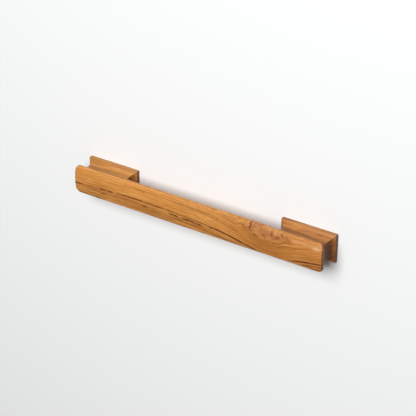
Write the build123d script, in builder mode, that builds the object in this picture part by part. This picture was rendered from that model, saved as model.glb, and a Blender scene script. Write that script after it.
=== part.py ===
from build123d import *
import os

# Teak grab rail for a boat: a crowned hand bar, with two coved feet housed in its back.
# Millimetres. X runs along the rail, Y across it, and Z out of the surface it is fixed to.
# The origin is on that surface, midway between the feet.

# Hand bar. The tops of the feet are flush with its ends and sides.
rail_length = 323
rail_width = 34
bar_thickness = 7
bar_crown = 2.6  # rise of the rounded front over the width of the bar
bar_corner_radius = 6.5
bar_front_round = 2
bar_back_round = 1.2
housing_depth = 2.3  # each foot is let this far into the back of the bar

# Feet: a square-edged pad, then a neck hollowed by one cove that runs all the way round.
foot_length = 67
pad_width = 32.8
foot_height = 28  # from the mounting surface to the bottom of the housing
pad_thickness = 4.2
cove_depth = 6.2

# Locating dowels, two in each foot, across the glue line between foot and bar.
dowel_diameter = 6
dowel_length = 14
dowel_chamfer = 0.8
dowel_depth_in_bar = 2.8
dowel_spacing = 40
dowel_side_clearance = 0.05
dowel_end_clearance = 0.4

# Threaded inserts, one in the middle of each foot, for a screw through the boat's panel.
thread_diameter = 6
insert_diameter = 12
insert_length = 14
insert_recess = 0.5
insert_rib_depth = 1
insert_rib_pitch = 3
insert_rib_width = 1.2
insert_slot_width = 1.6
insert_slot_depth = 2.5
screw_clearance = 0.5
screw_runout = 3

# Heights and places that follow from the sizes above.
bar_back = foot_height - housing_depth
bar_front = bar_back + bar_thickness
bar_edge = bar_front - bar_crown
foot_offset = (rail_length - foot_length) / 2
foot_places = {"left": -foot_offset, "right": foot_offset}
dowel_places = {
    "left_outer_dowel": -foot_offset - dowel_spacing / 2,
    "left_inner_dowel": -foot_offset + dowel_spacing / 2,
    "right_inner_dowel": foot_offset - dowel_spacing / 2,
    "right_outer_dowel": foot_offset + dowel_spacing / 2,
}
dowel_bottom = foot_height + dowel_depth_in_bar - dowel_length
dowel_hole_radius = dowel_diameter / 2 + dowel_side_clearance


def foot_outline(pad_half_width, top_half_width, cove_tops):
    """Face of a foot seen from one side; cove_tops are the heights where its two coves end."""
    with BuildSketch() as outline:
        with BuildLine():
            Line((-pad_half_width, 0), (pad_half_width, 0))
            for side, cove_top in zip((1, -1), cove_tops):
                pad_edge = side * pad_half_width
                top_edge = side * top_half_width
                neck = side * (pad_half_width - cove_depth)
                neck_height = (pad_thickness + cove_top) / 2
                Line((pad_edge, 0), (pad_edge, pad_thickness))
                ThreePointArc((pad_edge, pad_thickness), (neck, neck_height), (top_edge, cove_top))
                if cove_top < foot_height:
                    Line((top_edge, cove_top), (top_edge, foot_height))
            Line((-top_half_width, foot_height), (top_half_width, foot_height))
        make_face()
    return outline.sketch


def discs(radius, places, height):
    """Round faces on the centre line at the given places along it, at one height."""
    with BuildSketch(Plane.XY.offset(height)) as faces:
        with Locations([(x, 0) for x in places]):
            Circle(radius)
    return faces.sketch


def make_bar():
    """Long bar with a flat back, a crowned front, rounded corners and a housing for each foot."""
    with BuildPart() as bar:
        with BuildSketch(Plane.YZ.offset(-rail_length / 2)):
            with BuildLine():
                Polyline(
                    (rail_width / 2, bar_edge),
                    (rail_width / 2, bar_back),
                    (-rail_width / 2, bar_back),
                    (-rail_width / 2, bar_edge),
                )
                ThreePointArc((-rail_width / 2, bar_edge), (0, bar_front), (rail_width / 2, bar_edge))
            make_face()
        extrude(amount=rail_length)
        fillet(bar.edges().filter_by(Axis.Z), bar_corner_radius)
        fillet(bar.faces().sort_by(Axis.Z)[-1].edges(), bar_front_round)
        fillet(bar.faces().sort_by(Axis.Z)[0].edges(), bar_back_round)
        with BuildSketch(Plane.XY.offset(bar_back)):
            with Locations([(x, 0) for x in foot_places.values()]):
                Rectangle(foot_length, rail_width)
        extrude(amount=housing_depth, mode=Mode.SUBTRACT)
        dowel_mouths = discs(dowel_hole_radius, dowel_places.values(), foot_height)
        extrude(dowel_mouths, amount=dowel_depth_in_bar + dowel_end_clearance, mode=Mode.SUBTRACT)
    return bar.part


def make_foot(centre):
    """Foot with a cove on its four sides, mitred at its corners, and bored for its hardware."""
    outward = 1 if centre > 0 else -1
    side_face = foot_outline(foot_length / 2, foot_length / 2, (foot_height, bar_back)[::outward])
    end_face = foot_outline(pad_width / 2, rail_width / 2, (foot_height, foot_height))
    with BuildPart() as foot:
        with BuildSketch(Plane.YZ.offset(centre - foot_length / 2)):
            add(end_face)
        extrude(amount=foot_length)
        with BuildSketch(Plane((centre, 0, 0), x_dir=(1, 0, 0), z_dir=(0, -1, 0))):
            add(side_face)
        extrude(amount=rail_width, both=True, mode=Mode.INTERSECT)
        # The outer corners under the bar are trimmed to the bar's own rounded corners.
        cove_middle = (pad_thickness + foot_height) / 2
        with BuildSketch(Plane.XY.offset(cove_middle)):
            with Locations((centre, 0)):
                Rectangle(foot_length, rail_width)
            RectangleRounded(rail_length, rail_width, bar_corner_radius, mode=Mode.SUBTRACT)
        extrude(amount=foot_height - cove_middle, mode=Mode.SUBTRACT)
        dowels_here = [x for x in dowel_places.values() if x * centre > 0]
        dowel_hole_depth = foot_height - dowel_bottom + dowel_end_clearance
        dowel_mouths = discs(dowel_hole_radius, dowels_here, foot_height)
        extrude(dowel_mouths, amount=-dowel_hole_depth, mode=Mode.SUBTRACT)
        insert_mouth = discs(insert_diameter / 2, [centre], 0)
        extrude(insert_mouth, amount=insert_recess + insert_length, mode=Mode.SUBTRACT)
        screw_mouth = discs(thread_diameter / 2 + screw_clearance, [centre], 0)
        extrude(screw_mouth, amount=insert_recess + insert_length + screw_runout, mode=Mode.SUBTRACT)
    return foot.part


def make_dowel(centre):
    """Beech dowel with chamfered ends."""
    with BuildPart() as dowel:
        extrude(discs(dowel_diameter / 2, [centre], dowel_bottom), amount=dowel_length)
        chamfer(dowel.edges().filter_by(GeomType.CIRCLE), dowel_chamfer)
    return dowel.part


def make_insert(centre):
    """Brass screw-in insert: bored through, ribbed outside, slotted across its mouth for a driver."""
    rib_count = int((insert_length - insert_rib_width) // insert_rib_pitch) + 1
    with BuildPart() as insert:
        body_radius = insert_diameter / 2 - insert_rib_depth
        extrude(discs(body_radius, [centre], insert_recess), amount=insert_length)
        for rib in range(rib_count):
            rib_bottom = insert_recess + rib * insert_rib_pitch
            extrude(discs(insert_diameter / 2, [centre], rib_bottom), amount=insert_rib_width)
        bore = discs(thread_diameter / 2, [centre], insert_recess)
        extrude(bore, amount=insert_length, mode=Mode.SUBTRACT)
        with BuildSketch(Plane.XY.offset(insert_recess)):
            with Locations((centre, 0)):
                Rectangle(insert_diameter, insert_slot_width)
        extrude(amount=insert_slot_depth, mode=Mode.SUBTRACT)
    return insert.part


pieces = {"grip_bar": make_bar()}
for side, centre in foot_places.items():
    pieces[f"{side}_foot"] = make_foot(centre)
    pieces[f"{side}_insert"] = make_insert(centre)
for name, centre in dowel_places.items():
    pieces[name] = make_dowel(centre)

os.makedirs("parts", exist_ok=True)
for name, piece in pieces.items():
    piece.label = name
    export_step(piece, f"parts/{name}.step")
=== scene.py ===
import bmesh
import bpy
import math
from mathutils import Matrix, Vector


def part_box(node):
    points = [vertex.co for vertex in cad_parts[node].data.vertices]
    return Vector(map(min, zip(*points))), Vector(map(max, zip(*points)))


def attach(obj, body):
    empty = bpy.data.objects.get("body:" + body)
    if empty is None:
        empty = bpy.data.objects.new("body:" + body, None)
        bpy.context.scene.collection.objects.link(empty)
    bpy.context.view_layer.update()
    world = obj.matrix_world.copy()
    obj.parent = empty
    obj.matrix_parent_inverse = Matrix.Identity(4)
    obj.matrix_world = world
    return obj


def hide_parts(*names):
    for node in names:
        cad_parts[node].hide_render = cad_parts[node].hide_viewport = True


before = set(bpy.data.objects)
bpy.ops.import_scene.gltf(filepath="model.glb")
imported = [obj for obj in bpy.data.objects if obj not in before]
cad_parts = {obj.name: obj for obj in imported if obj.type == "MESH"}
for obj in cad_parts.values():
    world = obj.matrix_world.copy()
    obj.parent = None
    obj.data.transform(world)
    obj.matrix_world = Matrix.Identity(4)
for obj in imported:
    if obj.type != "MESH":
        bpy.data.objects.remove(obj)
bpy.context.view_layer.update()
MM = 0.001


# ---- Hand bar --------------------------------------------------------------------------------
# One long board of plain-sawn teak, planed flat at the back and crowned on the front, with its
# corners cut round and its edges rounded over with a cutter, then sanded and oiled. A housing is
# cut across its back at each end for the foot, and two dowel holes are drilled in each housing.
bar_low, bar_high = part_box("grip_bar")
bar_length = bar_high.x - bar_low.x
bar_width = bar_high.y - bar_low.y
bar_corner_radius = 6.5 * MM
bar_crown = 2.6 * MM
bar_front_round = 2 * MM
bar_back_round = 1.2 * MM
crown_rows = 15  # rows of points on each side of the middle, from which the crown is shaped
crown_row_gap = 1 * MM
near = 0.01 * MM
housing_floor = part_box("left_foot")[1].z
foot_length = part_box("left_foot")[1].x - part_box("left_foot")[0].x
dowel_nodes = ["left_outer_dowel", "left_inner_dowel", "right_inner_dowel", "right_outer_dowel"]
dowel_hole_clearance = 0.05 * MM
dowel_end_clearance = 0.4 * MM


def pick(kind, test):
    """Selects the points, edges or faces in edit mode whose corners all pass the test."""
    bpy.ops.mesh.select_mode(type=kind)
    bpy.ops.mesh.select_all(action="DESELECT")
    shape = bmesh.from_edit_mesh(bpy.context.object.data)
    found = {"VERT": shape.verts, "EDGE": shape.edges, "FACE": shape.faces}[kind]
    for element in found:
        corners = [element] if kind == "VERT" else element.verts
        element.select_set(test([corner.co for corner in corners]))
    shape.select_flush_mode()
    bmesh.update_edit_mesh(bpy.context.object.data)


def block(name, low, high):
    """A box between two corners, as one object with its place in its mesh."""
    bpy.ops.object.select_all(action="DESELECT")
    middle = (Vector(low) + Vector(high)) / 2
    bpy.ops.mesh.primitive_cube_add(size=1, location=middle, scale=Vector(high) - Vector(low))
    bpy.ops.object.transform_apply(location=True, rotation=True, scale=True)
    bpy.context.object.name = name
    return bpy.context.object


def rod(name, radius, low, high):
    """An upright round bar between two points, one above the other."""
    bpy.ops.object.select_all(action="DESELECT")
    middle = (Vector(low) + Vector(high)) / 2
    height = high[2] - low[2]
    bpy.ops.mesh.primitive_cylinder_add(vertices=64, radius=radius, depth=height, location=middle)
    bpy.ops.object.transform_apply(location=True, rotation=True, scale=True)
    bpy.context.object.name = name
    return bpy.context.object


def cut(piece, cutter):
    """Cuts one solid out of another and throws the cutter away."""
    bpy.ops.object.select_all(action="DESELECT")
    bpy.context.view_layer.objects.active = piece
    piece.select_set(True)
    difference = piece.modifiers.new("cut", "BOOLEAN")
    difference.operation = "DIFFERENCE"
    difference.solver = "EXACT"
    difference.object = cutter
    bpy.ops.object.modifier_apply(modifier=difference.name)
    bpy.data.objects.remove(cutter)


bar = block("hand_bar", bar_low, bar_high)
bpy.ops.object.mode_set(mode="EDIT")
pick("EDGE", lambda ends: abs(ends[0].z - ends[1].z) > near)
bpy.ops.mesh.bevel(offset=bar_corner_radius, segments=16, affect="EDGES")
pick("EDGE", lambda ends: all(end.z > bar_high.z - near for end in ends))
bpy.ops.mesh.bevel(offset=bar_front_round, segments=8, affect="EDGES")
pick("EDGE", lambda ends: all(end.z < bar_low.z + near for end in ends))
bpy.ops.mesh.bevel(offset=bar_back_round, segments=5, affect="EDGES")

# The crown: the board is divided into rows along its length, and each row is lowered to the arc.
for row in range(-crown_rows, crown_rows + 1):
    bpy.ops.mesh.select_all(action="SELECT")
    bpy.ops.mesh.bisect(plane_co=(0, row * crown_row_gap, 0), plane_no=(0, 1, 0))
crown_radius = (bar_width / 2) ** 2 / (2 * bar_crown) + bar_crown / 2
round_start = bar_high.z - bar_front_round - near
shape = bmesh.from_edit_mesh(bar.data)
rows = sorted({round(point.co.y / near) for point in shape.verts if point.co.z > round_start})
for row in rows:
    across = row * near
    drop = crown_radius - math.sqrt(crown_radius**2 - across**2)
    pick("VERT", lambda at: at[0].z > round_start - drop and round(at[0].y / near) == row)
    bpy.ops.transform.translate(value=(0, 0, -drop))
bpy.ops.object.mode_set(mode="OBJECT")

for side in (-1, 1):
    inner = side * (bar_length / 2 - foot_length)
    outer = side * (bar_length / 2 + 1 * MM)
    low = (min(inner, outer), bar_low.y - 1 * MM, bar_low.z - 1 * MM)
    high = (max(inner, outer), bar_high.y + 1 * MM, housing_floor)
    cut(bar, block("housing", low, high))
for name in dowel_nodes:
    dowel_low, dowel_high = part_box(name)
    centre = (dowel_low + dowel_high) / 2
    radius = (dowel_high.x - dowel_low.x) / 2 + dowel_hole_clearance
    top = (centre.x, centre.y, dowel_high.z + dowel_end_clearance)
    cut(bar, rod("hole", radius, (centre.x, centre.y, bar_low.z), top))
bpy.ops.object.shade_smooth_by_angle(angle=math.radians(30))


def linear(code):
    """Colour of an sRGB hex code as the shader wants it."""
    parts = [int(code[i:i + 2], 16) / 255 for i in (0, 2, 4)]
    return [c / 12.92 if c <= 0.04045 else ((c + 0.055) / 1.055) ** 2.4 for c in parts] + [1]


def add(tree, kind, links=None, **settings):
    """Adds a node with its settings. Links gives a value or another node's output per socket."""
    node = tree.nodes.new("ShaderNode" + kind)
    for name, value in settings.items():
        setattr(node, name, value)
    for socket, value in (links or {}).items():
        if isinstance(value, bpy.types.NodeSocket):
            tree.links.new(value, node.inputs[socket])
        else:
            node.inputs[socket].default_value = value
    return node


# Oiled teak, planed and sanded: honey brown, with long fine fibres, dark mineral streaks that
# break and start again, and a knot near the top edge that the grain runs round.
knot_x = 91
knot_y = 14.5
swell_x = 95  # where the grain below the knot is pushed furthest down
swell_rise = 17
swell_reach = 45

bar_teak = bpy.data.materials.new("oiled_teak_bar")
bar_teak.use_nodes = True
tree = bar_teak.node_tree
tree.nodes.clear()
place = add(tree, "TexCoord").outputs["Object"]
in_mm = add(tree, "VectorMath", {0: place, "Scale": 1000}, operation="SCALE").outputs[0]

# Slow wander of the grain, a millimetre or so either way along the board.
wander_at = add(tree, "Mapping", {0: in_mm, "Scale": (1 / 70, 1 / 16, 1 / 16)}).outputs[0]
wander = add(tree, "TexNoise", {0: wander_at, "Scale": 1, "Detail": 2, "Roughness": 0.5}).outputs[0]
axes = add(tree, "SeparateXYZ", {0: in_mm}).outputs
along, across, up = axes[0], axes[1], axes[2]

# Grain lines: level over most of the board, bowed down under the knot, and a little down at the
# left end.
offset = add(tree, "Math", {0: along, 1: swell_x}, operation="SUBTRACT").outputs[0]
offset = add(tree, "Math", {0: offset, 1: swell_reach}, operation="DIVIDE").outputs[0]
offset = add(tree, "Math", {0: offset, 1: offset, 2: 1}, operation="MULTIPLY_ADD").outputs[0]
swell = add(tree, "Math", {0: swell_rise, 1: offset}, operation="DIVIDE").outputs[0]
fall = add(tree, "MapRange", {0: along, 1: -161.5, 2: -75, 3: 3.8, 4: 0}).outputs[0]
level = add(tree, "Math", {0: across, 1: swell}, operation="ADD").outputs[0]
level = add(tree, "Math", {0: level, 1: fall}, operation="ADD").outputs[0]
level = add(tree, "Math", {0: wander, 1: 1.6, 2: level}, operation="MULTIPLY_ADD").outputs[0]
level = add(tree, "Math", {0: level, 1: 0.8}, operation="SUBTRACT").outputs[0]

# Rings of the knot, twice as long as they are wide, disturbed a little.
ring_x = add(tree, "Math", {0: along, 1: knot_x}, operation="SUBTRACT").outputs[0]
ring_x = add(tree, "Math", {0: ring_x, 1: 0.5}, operation="MULTIPLY").outputs[0]
ring_y = add(tree, "Math", {0: across, 1: knot_y}, operation="SUBTRACT").outputs[0]
ring = add(tree, "CombineXYZ", {0: ring_x, 1: ring_y}).outputs[0]
ring = add(tree, "VectorMath", {0: ring}, operation="LENGTH").outputs["Value"]
swirl_at = add(tree, "Mapping", {0: in_mm, "Scale": (1 / 12, 1 / 7, 1 / 9)}).outputs[0]
swirl = add(tree, "TexNoise", {0: swirl_at, "Scale": 1, "Detail": 2}).outputs[0]
ring = add(tree, "Math", {0: swirl, 1: 9, 2: ring}, operation="MULTIPLY_ADD").outputs[0]
ring = add(tree, "Math", {0: ring, 1: 4.5}, operation="SUBTRACT").outputs[0]
ring_level = add(tree, "Math", {0: 31.4, 1: ring}, operation="SUBTRACT").outputs[0]
outside = add(
    tree, "MapRange", {0: ring, 1: 13, 2: 20, 3: 0, 4: 1}, interpolation_type="SMOOTHSTEP"
).outputs[0]
grain = add(tree, "Mix", {0: outside, 2: ring_level, 3: level}).outputs[0]

# Growth bands some 3 mm wide, fibres a millimetre wide, and pores as short dark dashes, which
# are drawn twice as wide as real ones so that they show.
flow = add(tree, "CombineXYZ", {0: along, 1: grain, 2: up}).outputs[0]
band_at = add(tree, "Mapping", {0: flow, "Scale": (1 / 140, 1 / 2.6, 1 / 6)}).outputs[0]
band = add(tree, "TexNoise", {0: band_at, "Scale": 1, "Detail": 3, "Roughness": 0.6}).outputs[0]
fibre_at = add(tree, "Mapping", {0: flow, "Scale": (1 / 50, 1 / 1.2, 1 / 1.2)}).outputs[0]
fibre = add(tree, "TexNoise", {0: fibre_at, "Scale": 1, "Detail": 3, "Roughness": 0.75}).outputs[0]
pore_at = add(tree, "Mapping", {0: flow, "Scale": (1 / 9, 1 / 0.45, 1 / 0.45)}).outputs[0]
pore = add(tree, "TexNoise", {0: pore_at, "Scale": 1, "Detail": 2, "Roughness": 0.6}).outputs[0]
pore = add(tree, "MapRange", {0: pore, 1: 0.54, 2: 0.68, 3: 0, 4: 1}).outputs[0]

tone = add(tree, "Mix", {0: 0.7, 2: band, 3: fibre}).outputs[0]
ramp = add(tree, "ValToRGB", {0: tone})
stops = ramp.color_ramp.elements
stops[0].position, stops[0].color = 0.37, linear("965B21")
stops[1].position, stops[1].color = 0.59, linear("D9984F")
middle_stop = stops.new(0.48)
middle_stop.color = linear("C6833C")
colour = ramp.outputs[0]

# Thin darker growth lines, close together in the lower half of the board and rare above it.
line_at = add(tree, "Mapping", {0: flow, "Scale": (1 / 110, 1 / 1.15, 1 / 5)}).outputs[0]
line = add(tree, "TexNoise", {0: line_at, "Scale": 1, "Detail": 2, "Roughness": 0.7}).outputs[0]
line = add(tree, "MapRange", {0: line, 1: 0.5, 2: 0.66, 3: 0, 4: 1}).outputs[0]
lines_low = add(tree, "MapRange", {0: grain, 1: -3, 2: 5, 3: 0.42, 4: 0.08}).outputs[0]
line = add(tree, "Math", {0: line, 1: lines_low}, operation="MULTIPLY").outputs[0]
colour = add(
    tree, "Mix", {0: line, 6: colour, 7: linear("854A18")}, data_type="RGBA"
).outputs["Result"]

# The wood turns redder towards the knot and beyond it, and is pinkish inside it.
redder = add(tree, "MapRange", {0: along, 1: 40, 2: 95}, interpolation_type="SMOOTHSTEP").outputs[0]
redder = add(tree, "Math", {0: redder, 1: 0.42}, operation="MULTIPLY").outputs[0]
colour = add(
    tree, "Mix", {0: redder, 6: colour, 7: linear("B57031")}, data_type="RGBA"
).outputs["Result"]
inside = add(
    tree, "MapRange", {0: ring, 1: 15, 2: 9, 3: 0, 4: 0.75}, interpolation_type="SMOOTHSTEP"
).outputs[0]
ring_tone = add(tree, "Math", {0: ring, 1: 1.9}, operation="MULTIPLY").outputs[0]
ring_tone = add(tree, "Math", {0: ring_tone}, operation="SINE").outputs[0]
ring_tone = add(
    tree, "Math", {0: ring_tone, 1: 0.07, 2: swirl}, operation="MULTIPLY_ADD"
).outputs[0]
inside_tone = add(tree, "ValToRGB", {0: ring_tone})
inside_tone.color_ramp.elements[0].position = 0.3
inside_tone.color_ramp.elements[0].color = linear("95562B")
inside_tone.color_ramp.elements[1].position = 0.68
inside_tone.color_ramp.elements[1].color = linear("CC8E56")
colour = add(
    tree, "Mix", {0: inside, 6: colour, 7: inside_tone.outputs[0]}, data_type="RGBA"
).outputs["Result"]

# Curls in the knot: place, reach along and across, all in mm, and strength.
curls = [
    (73.5, 13.5, 2.4, 7.5, 0.85),
    (79.0, 5.0, 7.0, 1.9, 0.65),
    (91.0, 6.4, 4.6, 1.9, 0.8),
    (86.0, 12.0, 2.2, 4.0, 0.45),
    (100.0, 11.5, 2.4, 3.6, 0.7),
    (106.5, 8.5, 3.4, 2.0, 0.6),
    (112.5, 12.5, 2.0, 5.0, 0.55),
]
curl_at = add(tree, "TexNoise", {0: swirl_at, "Scale": 1.7, "Detail": 2}).outputs[1]
curl_at = add(
    tree, "VectorMath", {0: curl_at, 1: (7, 7, 0), 2: in_mm}, operation="MULTIPLY_ADD"
).outputs[0]
for curl_x, curl_y, reach_x, reach_y, strength in curls:
    shift = (-(curl_x + 3.5) / reach_x, -(curl_y + 3.5) / reach_y, 0)
    size = (1 / reach_x, 1 / reach_y, 0)
    away = add(tree, "Mapping", {0: curl_at, "Location": shift, "Scale": size}).outputs[0]
    away = add(tree, "VectorMath", {0: away}, operation="LENGTH").outputs["Value"]
    curl = add(
        tree, "MapRange", {0: away, 1: 1, 2: 0.1, 3: 0, 4: strength},
        interpolation_type="SMOOTHSTEP",
    ).outputs[0]
    colour = add(
        tree, "Mix", {0: curl, 6: colour, 7: linear("6A3212")}, data_type="RGBA"
    ).outputs["Result"]

# Patches: place, reach along and across, all in mm, strength and colour. The wood is redder under
# the knot; the two pale patches to its right are painted highlight, a faint band and a bright spot.
tone_and_highlight_patches = [
    (92, -5, 40, 13, 0.5, "9A561C"),
    # Painted highlight: a long faint pale band near the top edge, then a brighter spot near the
    # end.
    (138, 11.5, 26, 3.0, 0.2, "E8BB90"),
    (154, 10.5, 8, 4.0, 0.55, "E8BB90"),
]
for patch_x, patch_y, reach_x, reach_y, strength, patch_colour in tone_and_highlight_patches:
    shift = (-patch_x / reach_x, -patch_y / reach_y, 0)
    size = (1 / reach_x, 1 / reach_y, 0)
    away = add(tree, "Mapping", {0: in_mm, "Location": shift, "Scale": size}).outputs[0]
    away = add(tree, "VectorMath", {0: away}, operation="LENGTH").outputs["Value"]
    patch = add(
        tree, "MapRange", {0: away, 1: 1, 2: 0, 3: 0, 4: strength}, interpolation_type="SMOOTHSTEP"
    ).outputs[0]
    colour = add(
        tree, "Mix", {0: patch, 6: colour, 7: linear(patch_colour)}, data_type="RGBA"
    ).outputs["Result"]

# End grain drinks more oil, so it is much darker than the face of the board.
facing = add(tree, "NewGeometry").outputs["Normal"]
facing = add(tree, "SeparateXYZ", {0: facing}).outputs[0]
facing = add(tree, "Math", {0: facing}, operation="ABSOLUTE").outputs[0]
end_grain = add(
    tree, "MapRange", {0: facing, 1: 0.3, 2: 0.9}, interpolation_type="SMOOTHSTEP"
).outputs[0]
colour = add(
    tree, "Mix", {0: end_grain, 6: colour, 7: linear("9C8C86")},
    data_type="RGBA", blend_type="MULTIPLY",
).outputs["Result"]

# Mineral streaks: grain line, half width, start and end along the bar, all in mm, and strength.
streaks = [
    (0.9, 1.15, -175, -146, 1.0),
    (0.9, 1.1, -150, -124, 0.55),
    (0.9, 1.5, -130, -103, 1.0),
    (1.0, 1.2, -106, -62, 0.9),
    (1.2, 1.1, -66, -32, 0.75),
    (1.0, 1.0, -38, 30, 0.7),
    (0.9, 1.5, 18, 84, 1.0),
    (-2.3, 1.5, -34, -15, 1.0),
    (-2.0, 1.6, -18, 16, 1.0),
    (-2.8, 0.9, -150, -34, 0.5),
    (-4.4, 1.6, -70, -57, 1.0),
    (-4.6, 1.2, -128, -114, 0.8),
    (-5.6, 0.9, -60, 60, 0.5),
    (-11.4, 1.3, -175, -120, 0.7),
    (-9.2, 0.9, -110, -20, 0.45),
    (-13.2, 1.0, -60, 40, 0.5),
    (-0.7, 1.6, 122, 175, 0.95),
    (-4.4, 1.3, 134, 175, 0.8),
    (-8.0, 1.1, 142, 175, 0.7),
    (3.4, 1.0, 140, 175, 0.4),
    (12.7, 1.1, -26, 62, 0.45),
    (17.4, 1.0, 60, 128, 0.4),
    (14.8, 1.0, 66, 150, 0.3),
]
break_at = add(tree, "Mapping", {0: flow, "Scale": (1 / 6, 1 / 1.2, 1 / 3)}).outputs[0]
breaks = add(tree, "TexNoise", {0: break_at, "Scale": 1, "Detail": 3}).outputs[0]
breaks = add(tree, "MapRange", {0: breaks, 1: 0.34, 2: 0.5, 3: 0.4, 4: 1}).outputs[0]
dark = None
for line, half_width, start, end, strength in streaks:
    gap = add(tree, "Math", {0: grain, 1: line}, operation="SUBTRACT").outputs[0]
    gap = add(tree, "Math", {0: gap}, operation="ABSOLUTE").outputs[0]
    core = add(
        tree, "MapRange", {0: gap, 1: half_width, 2: 0.3 * half_width, 3: 0, 4: strength},
        interpolation_type="SMOOTHSTEP",
    ).outputs[0]
    begin = add(
        tree, "MapRange", {0: along, 1: start, 2: start + 7}, interpolation_type="SMOOTHSTEP"
    ).outputs[0]
    finish = add(
        tree, "MapRange", {0: along, 1: end, 2: end - 7}, interpolation_type="SMOOTHSTEP"
    ).outputs[0]
    window = add(tree, "Math", {0: begin, 1: finish}, operation="MULTIPLY").outputs[0]
    streak = add(tree, "Math", {0: core, 1: window}, operation="MULTIPLY").outputs[0]
    if dark is None:
        dark = streak
    else:
        dark = add(tree, "Math", {0: dark, 1: streak}, operation="MAXIMUM").outputs[0]
dark = add(tree, "Math", {0: dark, 1: breaks}, operation="MULTIPLY").outputs[0]
colour = add(
    tree, "Mix", {0: dark, 6: colour, 7: linear("522308")}, data_type="RGBA"
).outputs["Result"]
pore_dark = add(tree, "Math", {0: pore, 1: 0.6}, operation="MULTIPLY").outputs[0]
colour = add(
    tree, "Mix", {0: pore_dark, 6: colour, 7: linear("834C1C")}, data_type="RGBA"
).outputs["Result"]

# Pores and fibres leave the sanded surface faintly ribbed, and the oil leaves a low soft sheen.
height = add(tree, "Math", {0: pore, 1: -0.6, 2: fibre}, operation="MULTIPLY_ADD").outputs[0]
relief = add(tree, "Bump", {"Height": height, "Strength": 0.25, "Distance": 0.00012}).outputs[0]
gloss = add(tree, "MapRange", {0: fibre, 1: 0.3, 2: 0.7, 3: 0.36, 4: 0.5}).outputs[0]
wood = add(
    tree,
    "BsdfPrincipled",
    {"Base Color": colour, "Roughness": gloss, "IOR": 1.46, "Normal": relief},
)
add(tree, "OutputMaterial", {0: wood.outputs[0]})
bar.data.materials.clear()
bar.data.materials.append(bar_teak)
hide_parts("grip_bar")
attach(bar, "root")


# ---- Feet ------------------------------------------------------------------------------------
# Two short blocks of the same teak, each with a square-edged pad and a cove run round its four
# sides on a spindle moulder, so that the coves meet in mitres at the corners. Each is glued and
# dowelled into its housing, and drilled from below for a threaded insert.
pad_width = 32.8 * MM
pad_thickness = 4.2 * MM
cove_depth = 6.2 * MM
arris = 0.45 * MM  # the sharp edges are taken off with paper
cove_steps = 36
insert_recess = 0.5 * MM
screw_hole_radius = 3.5 * MM
screw_runout = 3 * MM


def cove(height, pad_half, top_half, top):
    """Half the size of the foot at a height, on the arc that the cutter leaves."""
    half = (top - pad_thickness) / 2
    neck = pad_half - cove_depth
    reach = pad_half**2 + top_half**2 + 2 * half**2 - 2 * neck**2
    centre = reach / (2 * (pad_half + top_half - 2 * neck))
    lift = (top_half**2 - pad_half**2 + 2 * (pad_half - top_half) * centre) / (4 * half)
    radius = math.hypot(neck - centre, lift)
    rise = height - pad_thickness - half - lift
    return centre - math.sqrt(max(radius**2 - rise**2, 0))


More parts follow.
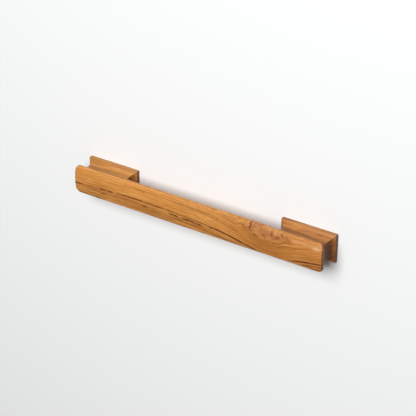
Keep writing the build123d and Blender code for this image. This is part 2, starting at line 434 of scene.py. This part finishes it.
feet = {}
for side, outward in (("left", -1), ("right", 1)):
    foot_low, foot_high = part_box(f"{side}_foot")
    middle = (foot_low.x + foot_high.x) / 2
    foot_top = foot_high.z
    half_length = foot_length / 2
    bpy.ops.object.select_all(action="DESELECT")
    bpy.ops.mesh.primitive_plane_add(size=1, location=(middle, 0, 0))
    foot = bpy.context.object
    foot.name = f"{side}_foot_block"
    bpy.ops.transform.resize(value=(foot_length, pad_width, 1))
    bpy.ops.object.transform_apply(location=True, rotation=True, scale=True)
    bpy.ops.object.mode_set(mode="EDIT")
    bpy.ops.mesh.select_all(action="SELECT")
    last = (0, -half_length, half_length, pad_width / 2)
    sections = [(pad_thickness, -half_length, half_length, pad_width / 2)]
    for step in range(1, cove_steps + 1):
        height = pad_thickness + (bar_low.z - pad_thickness) * step / cove_steps
        inner = -cove(height, half_length, half_length, bar_low.z)
        outer = cove(height, half_length, half_length, foot_top)
        width = cove(height, pad_width / 2, bar_width / 2, foot_top)
        sections.append((height, inner, outer, width))
    for step in range(1, 5):
        height = bar_low.z + (foot_top - bar_low.z) * step / 4
        outer = cove(height, half_length, half_length, foot_top)
        width = cove(height, pad_width / 2, bar_width / 2, foot_top)
        sections.append((height, -half_length, outer, width))
    for height, inner, outer, width in sections:
        rise = (0, 0, height - last[0])
        bpy.ops.mesh.extrude_region_move(TRANSFORM_OT_translate={"value": rise})
        stretch = ((outer - inner) / (last[2] - last[1]), width / last[3], 1)
        here = middle + outward * (last[1] + last[2]) / 2
        bpy.ops.transform.resize(value=stretch, center_override=(here, 0, height))
        shift = outward * (inner + outer - last[1] - last[2]) / 2
        bpy.ops.transform.translate(value=(shift, 0, 0))
        last = (height, inner, outer, width)
    bpy.ops.mesh.select_all(action="SELECT")
    bpy.ops.mesh.normals_make_consistent(inside=False)
    below_joint = bar_low.z + near
    pick(
        "EDGE",
        lambda ends: abs(ends[0].z - ends[1].z) > near
        and max(ends[0].z, ends[1].z) < below_joint,
    )
    bpy.ops.mesh.bevel(offset=arris, segments=2, affect="EDGES")
    pick("EDGE", lambda ends: all(abs(end.z) < near for end in ends))
    bpy.ops.mesh.bevel(offset=arris, segments=3, affect="EDGES")
    pick("EDGE", lambda ends: all(abs(end.z - pad_thickness) < near for end in ends))
    bpy.ops.mesh.bevel(offset=arris, segments=3, affect="EDGES")
    bpy.ops.object.mode_set(mode="OBJECT")

    # The outer corners under the bar are sanded down to the bar's own round corners.
    waist = (pad_thickness + foot_top) / 2
    slack = 0.02 * MM
    bar_outline = block(
        "bar_outline",
        (bar_low.x - slack, bar_low.y - slack, waist - 2 * MM),
        (bar_high.x + slack, bar_high.y + slack, foot_top + 2 * MM),
    )
    bpy.ops.object.mode_set(mode="EDIT")
    pick("EDGE", lambda ends: abs(ends[0].z - ends[1].z) > near)
    bpy.ops.mesh.bevel(offset=bar_corner_radius + slack, segments=24, affect="EDGES")
    bpy.ops.object.mode_set(mode="OBJECT")
    trim = block(
        "trim",
        (bar_low.x - 5 * MM, bar_low.y - 5 * MM, waist),
        (bar_high.x + 5 * MM, bar_high.y + 5 * MM, foot_top + 1 * MM),
    )
    cut(trim, bar_outline)
    cut(foot, trim)

    insert_low, insert_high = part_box(f"{side}_insert")
    insert_radius = (insert_high.x - insert_low.x) / 2
    below = (middle, 0, -1 * MM)
    cut(foot, rod("pocket", insert_radius, below, (middle, 0, insert_high.z)))
    cut(foot, rod("runout", screw_hole_radius, below, (middle, 0, insert_high.z + screw_runout)))
    for name in dowel_nodes:
        if name.startswith(side):
            dowel_low, dowel_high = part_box(name)
            centre = (dowel_low + dowel_high) / 2
            radius = (dowel_high.x - dowel_low.x) / 2 + dowel_hole_clearance
            bottom = (centre.x, centre.y, dowel_low.z - dowel_end_clearance)
            cut(foot, rod("hole", radius, bottom, (centre.x, centre.y, foot_top + 1 * MM)))
    bpy.ops.object.shade_smooth_by_angle(angle=math.radians(28))
    feet[side] = foot

# The same oiled teak, from other boards: straight grain along the rail, with darker growth
# bands, and end grain as fine slanting lines on the coves at the ends.
ring_spacing = 3.2  # mm between growth rings on the end grain
# Each foot's own board, in degrees and mm. The edge line is a dark line along the pad, at a height
# that falls towards the right by its taper.
# The crease value sets how dark the painted shade is in the crease under the bar.
foot_boards = {
    "left": {
        "ring_tilt": 60, "ring_strength": 0.35, "band_place": (3.0, 5.0, 2.0),
        "edge_line": 9.0, "edge_half": 1.2, "edge_taper": 0, "edge_strength": 0.4,
        "crease_shade_strength": 0.32, "tones": ("925A26", "BF833E", "D89C54"),
    },
    "right": {
        "ring_tilt": -24, "ring_strength": 0.75, "band_place": (40.0, 31.0, 17.0),
        "edge_line": 0, "edge_half": 11.0, "edge_taper": 0.12, "edge_strength": 0.7,
        "crease_shade_strength": 0.8, "tones": ("80501F", "B27236", "CA8C4A"),
    },
}
for side, board in foot_boards.items():
    foot_teak = bpy.data.materials.new(f"oiled_teak_{side}_foot")
    foot_teak.use_nodes = True
    tree = foot_teak.node_tree
    tree.nodes.clear()
    place = add(tree, "TexCoord").outputs["Object"]
    in_mm = add(tree, "VectorMath", {0: place, "Scale": 1000}, operation="SCALE").outputs[0]
    turned = (math.radians(board["ring_tilt"]), 0, math.radians(-1.5))
    moved = add(
        tree, "Mapping", {0: in_mm, "Location": board["band_place"], "Rotation": turned}
    ).outputs[0]
    wander_at = add(tree, "Mapping", {0: moved, "Scale": (1 / 45, 1 / 14, 1 / 14)}).outputs[0]
    wander = add(tree, "TexNoise", {0: wander_at, "Scale": 1, "Detail": 2}).outputs[1]
    bend = add(
        tree, "VectorMath", {0: wander, 1: (0, 3, 3), 2: moved}, operation="MULTIPLY_ADD"
    ).outputs[0]
    band_at = add(tree, "Mapping", {0: bend, "Scale": (1 / 110, 1 / 2.4, 1 / 5)}).outputs[0]
    band = add(tree, "TexNoise", {0: band_at, "Scale": 1, "Detail": 3, "Roughness": 0.6}).outputs[0]
    fibre_at = add(tree, "Mapping", {0: bend, "Scale": (1 / 50, 1 / 1.2, 1 / 1.2)}).outputs[0]
    fibre = add(
        tree, "TexNoise", {0: fibre_at, "Scale": 1, "Detail": 3, "Roughness": 0.75}
    ).outputs[0]
    pore_at = add(tree, "Mapping", {0: bend, "Scale": (1 / 9, 1 / 0.45, 1 / 0.45)}).outputs[0]
    pore = add(tree, "TexNoise", {0: pore_at, "Scale": 1, "Detail": 2, "Roughness": 0.6}).outputs[0]
    pore = add(tree, "MapRange", {0: pore, 1: 0.54, 2: 0.68, 3: 0, 4: 1}).outputs[0]
    tone = add(tree, "Mix", {0: 0.55, 2: band, 3: fibre}).outputs[0]
    ramp = add(tree, "ValToRGB", {0: tone})
    stops = ramp.color_ramp.elements
    stops[0].position, stops[0].color = 0.38, linear(board["tones"][0])
    stops[1].position, stops[1].color = 0.62, linear(board["tones"][2])
    middle_stop = stops.new(0.5)
    middle_stop.color = linear(board["tones"][1])
    colour = ramp.outputs[0]
    facing = add(tree, "NewGeometry").outputs["Normal"]
    facing = add(tree, "SeparateXYZ", {0: facing}).outputs[0]
    facing = add(tree, "Math", {0: facing}, operation="ABSOLUTE").outputs[0]
    end_grain = add(
        tree, "MapRange", {0: facing, 1: 0.35, 2: 0.9}, interpolation_type="SMOOTHSTEP"
    ).outputs[0]
    colour = add(
        tree, "Mix", {0: end_grain, 6: colour, 7: linear("A8948A")},
        data_type="RGBA", blend_type="MULTIPLY",
    ).outputs["Result"]
    ring = add(
        tree, "VectorMath", {0: wander, 1: (0, 1.2, 1.2), 2: moved}, operation="MULTIPLY_ADD"
    ).outputs[0]
    ring = add(tree, "SeparateXYZ", {0: ring}).outputs[1]
    ring_turn = 2 * math.pi / ring_spacing
    ring = add(tree, "Math", {0: ring, 1: ring_turn}, operation="MULTIPLY").outputs[0]
    ring = add(tree, "Math", {0: ring}, operation="SINE").outputs[0]
    ring = add(
        tree, "MapRange", {0: ring, 1: -0.2, 2: 1, 3: 0, 4: board["ring_strength"]}
    ).outputs[0]
    ring = add(tree, "Math", {0: ring, 1: end_grain}, operation="MULTIPLY").outputs[0]
    colour = add(
        tree, "Mix", {0: ring, 6: colour, 7: linear("3C200D")}, data_type="RGBA"
    ).outputs["Result"]
    # A dark line along the top of the left pad, and a dark wedge along the edge of the right one.
    places = add(tree, "SeparateXYZ", {0: in_mm}).outputs
    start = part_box(f"{side}_foot")[0].x * 1000
    reach = add(tree, "Math", {0: places[0], 1: start}, operation="SUBTRACT").outputs[0]
    reach = add(
        tree, "Math", {0: reach, 1: board["edge_taper"], 2: places[2]}, operation="MULTIPLY_ADD"
    ).outputs[0]
    reach = add(tree, "Math", {0: band, 1: 6, 2: reach}, operation="MULTIPLY_ADD").outputs[0]
    gap = add(tree, "Math", {0: reach, 1: board["edge_line"]}, operation="SUBTRACT").outputs[0]
    gap = add(tree, "Math", {0: gap}, operation="ABSOLUTE").outputs[0]
    half = board["edge_half"]
    dark = add(
        tree, "MapRange", {0: gap, 1: half, 2: 0.6 * half, 3: 0, 4: board["edge_strength"]},
        interpolation_type="SMOOTHSTEP",
    ).outputs[0]
    colour = add(
        tree, "Mix", {0: dark, 6: colour, 7: linear("8C4A1E")}, data_type="RGBA"
    ).outputs["Result"]
    # Painted shade: the cove darkens with height towards the crease under the bar, where the bar
    # shades it.
    painted_crease_shade = add(
        tree, "MapRange", {0: places[2], 1: 9, 2: 25, 3: 0, 4: board["crease_shade_strength"]},
        interpolation_type="SMOOTHSTEP",
    ).outputs[0]
    colour = add(
        tree, "Mix", {0: painted_crease_shade, 6: colour, 7: linear("74421E")}, data_type="RGBA"
    ).outputs["Result"]
    pore_dark = add(tree, "Math", {0: pore, 1: 0.35}, operation="MULTIPLY").outputs[0]
    colour = add(
        tree, "Mix", {0: pore_dark, 6: colour, 7: linear("834C1C")}, data_type="RGBA"
    ).outputs["Result"]
    height = add(tree, "Math", {0: pore, 1: -0.6, 2: fibre}, operation="MULTIPLY_ADD").outputs[0]
    relief = add(tree, "Bump", {"Height": height, "Strength": 0.25, "Distance": 0.00012}).outputs[0]
    gloss = add(tree, "MapRange", {0: fibre, 1: 0.3, 2: 0.7, 3: 0.45, 4: 0.6}).outputs[0]
    wood = add(
        tree,
        "BsdfPrincipled",
        {"Base Color": colour, "Roughness": gloss, "IOR": 1.46, "Normal": relief},
    )
    add(tree, "OutputMaterial", {0: wood.outputs[0]})
    foot = feet[side]
    foot.data.materials.clear()
    foot.data.materials.append(foot_teak)
    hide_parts(f"{side}_foot")
    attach(foot, "root")


# ---- Dowels ----------------------------------------------------------------------------------
# Four plain beech dowels with chamfered ends, two in each foot, glued across the joint between
# foot and bar. Turned and left unfinished, so the wood is pale and dull, with fine dark flecks.
beech = bpy.data.materials.new("turned_beech")
beech.use_nodes = True
tree = beech.node_tree
tree.nodes.clear()
place = add(tree, "TexCoord").outputs["Object"]
fleck_at = add(tree, "Mapping", {0: place, "Scale": (2200, 2200, 300)}).outputs[0]
fleck = add(tree, "TexNoise", {0: fleck_at, "Scale": 1, "Detail": 3}).outputs[0]
ramp = add(tree, "ValToRGB", {0: fleck})
ramp.color_ramp.elements[0].color = linear("B98A5E")
ramp.color_ramp.elements[1].color = linear("E0BE94")
wood = add(tree, "BsdfPrincipled", {"Base Color": ramp.outputs[0], "Roughness": 0.65, "IOR": 1.5})
add(tree, "OutputMaterial", {0: wood.outputs[0]})
for name in dowel_nodes:
    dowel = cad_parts[name]
    for holder in dowel.material_slots:
        holder.material = beech


# ---- Threaded inserts ------------------------------------------------------------------------
# Two brass inserts turned from bar and screwed into the backs of the feet. The tool leaves fine
# rings on the metal, so its shine is broken into thin bands.
brass = bpy.data.materials.new("turned_brass")
brass.use_nodes = True
tree = brass.node_tree
tree.nodes.clear()
place = add(tree, "TexCoord").outputs["Object"]
mark_at = add(tree, "Mapping", {0: place, "Scale": (300, 300, 6000)}).outputs[0]
mark = add(tree, "TexNoise", {0: mark_at, "Scale": 1, "Detail": 2}).outputs[0]
ramp = add(tree, "ValToRGB", {0: mark})
ramp.color_ramp.elements[0].color = linear("B08D3C")
ramp.color_ramp.elements[1].color = linear("D9BB66")
gloss = add(tree, "MapRange", {0: mark, 1: 0.3, 2: 0.7, 3: 0.22, 4: 0.38}).outputs[0]
metal = add(
    tree, "BsdfPrincipled", {"Base Color": ramp.outputs[0], "Metallic": 1, "Roughness": gloss}
)
add(tree, "OutputMaterial", {0: metal.outputs[0]})
for side in ("left", "right"):
    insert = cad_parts[f"{side}_insert"]
    for holder in insert.material_slots:
        holder.material = brass


# ---- Floor, light and camera -----------------------------------------------------------------
# The rail lies on its feet on a plain pale floor, which stands for the panel it is fixed to.
bpy.ops.object.select_all(action="DESELECT")
bpy.ops.mesh.primitive_plane_add(size=12, location=(0, 0, 0))
floor = bpy.context.object
floor.name = "floor"
paint = bpy.data.materials.new("matt_white_paint")
paint.use_nodes = True
tree = paint.node_tree
tree.nodes.clear()
matt = add(tree, "BsdfPrincipled", {"Base Color": linear("ECEDED"), "Roughness": 0.9, "IOR": 1.4})
add(tree, "OutputMaterial", {0: matt.outputs[0]})
floor.data.materials.append(paint)

world = bpy.data.worlds.new("studio")
bpy.context.scene.world = world
world.use_nodes = True
tree = world.node_tree
tree.nodes.clear()
glow = add(tree, "Background", {0: linear("FFFFFF"), 1: 0.14})
add(tree, "OutputWorld", {0: glow.outputs[0]})

bpy.ops.object.light_add(type="AREA", location=(0.27, 1.5, 2.65))
softbox = bpy.context.object
softbox.name = "softbox"
softbox.data.shape = "RECTANGLE"
softbox.data.size = 1.85
softbox.data.size_y = 1.85
softbox.data.energy = 112
softbox.rotation_euler = (-softbox.location).to_track_quat("-Z", "Y").to_euler()

# The camera stands as it would before a rail on a bulkhead: round towards the right end and above.
camera_azimuth = math.radians(34.286)
camera_elevation = math.radians(28.038)
camera_roll = math.radians(0.289)
camera_distance = 1.6699
aim = Vector((0.02052, 0.01822, bar_high.z))
lie_down = Matrix.Rotation(math.radians(-90), 4, "X")
swing = Matrix.Rotation(camera_azimuth, 4, "Z")
tilt = Matrix.Rotation(math.pi / 2 - camera_elevation, 4, "X")
turn = lie_down @ (swing @ tilt) @ Matrix.Rotation(camera_roll, 4, "Z")
bpy.ops.object.camera_add()
camera = bpy.context.object
camera.name = "camera"
camera.data.sensor_width = 36
camera.data.lens = 136.16
camera.data.clip_end = 30
camera.matrix_world = Matrix.Translation(aim + turn.col[2].to_3d() * camera_distance) @ turn
bpy.context.scene.camera = camera
bpy.context.scene.view_settings.view_transform = "Standard"
